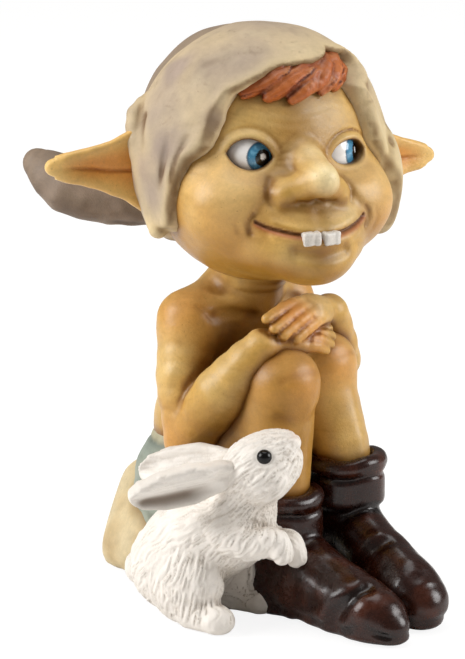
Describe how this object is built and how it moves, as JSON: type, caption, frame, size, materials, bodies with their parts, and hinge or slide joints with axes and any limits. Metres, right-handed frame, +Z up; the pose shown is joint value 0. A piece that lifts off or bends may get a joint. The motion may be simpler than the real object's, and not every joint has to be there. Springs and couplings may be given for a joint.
{
  "type": "pixie figurine",
  "caption": "Painted cast-resin pixie in a hooded cap, shorts and slouched boots, seated on a stone hugging its knees, with a white rabbit at its side; stands on a shelf as decoration.",
  "frame": {"origin": "on the table under the pixie's hips, on the stone's flat underside", "axes": "+Z up, -Y the way the pixie's knees and boots point, +X to the pixie's left"},
  "size_m": [0.0791, 0.0898, 0.1002],
  "materials": {
    "stone": "painted resin, satin",
    "shorts": "painted resin, matt",
    "skin": "painted resin with a brown wash, satin",
    "ear_skin": "painted resin with an orange blush, satin",
    "boots": "painted resin, glossy",
    "eye_white": "painted resin, glossy",
    "eye_black": "painted resin, glossy",
    "teeth": "painted resin, glossy",
    "hair": "painted resin, satin",
    "cap_cream": "painted resin with a grey-mauve wash, matt",
    "cap_grey": "painted resin, matt",
    "fur": "painted resin with carved strokes, satin",
    "steel": "plain pin, hidden"
  },
  "bodies": {
    "root": {"seat_stone": "stone", "shorts": "shorts", "torso": "skin", "right_arm": "skin", "left_arm": "skin", "right_leg": "skin", "left_leg": "skin", "right_boot": "boots", "left_boot": "boots", "head": "skin", "right_ear": "ear_skin", "left_ear": "ear_skin", "right_eye": "eye_white", "left_eye": "eye_white", "right_tooth": "teeth", "left_tooth": "teeth", "hair_tuft": "hair", "cap": "cap_cream", "cap_tail": "cap_grey", "neck_dowel": "steel", "tail_dowel": "steel", "rabbit_body": "fur", "rabbit_right_foreleg": "fur", "rabbit_left_foreleg": "fur", "rabbit_head": "fur", "rabbit_right_ear": "fur", "rabbit_left_ear": "fur", "rabbit_right_eye": "eye_black", "rabbit_left_eye": "eye_black", "rabbit_tail": "fur"}
  },
  "joints": []
}
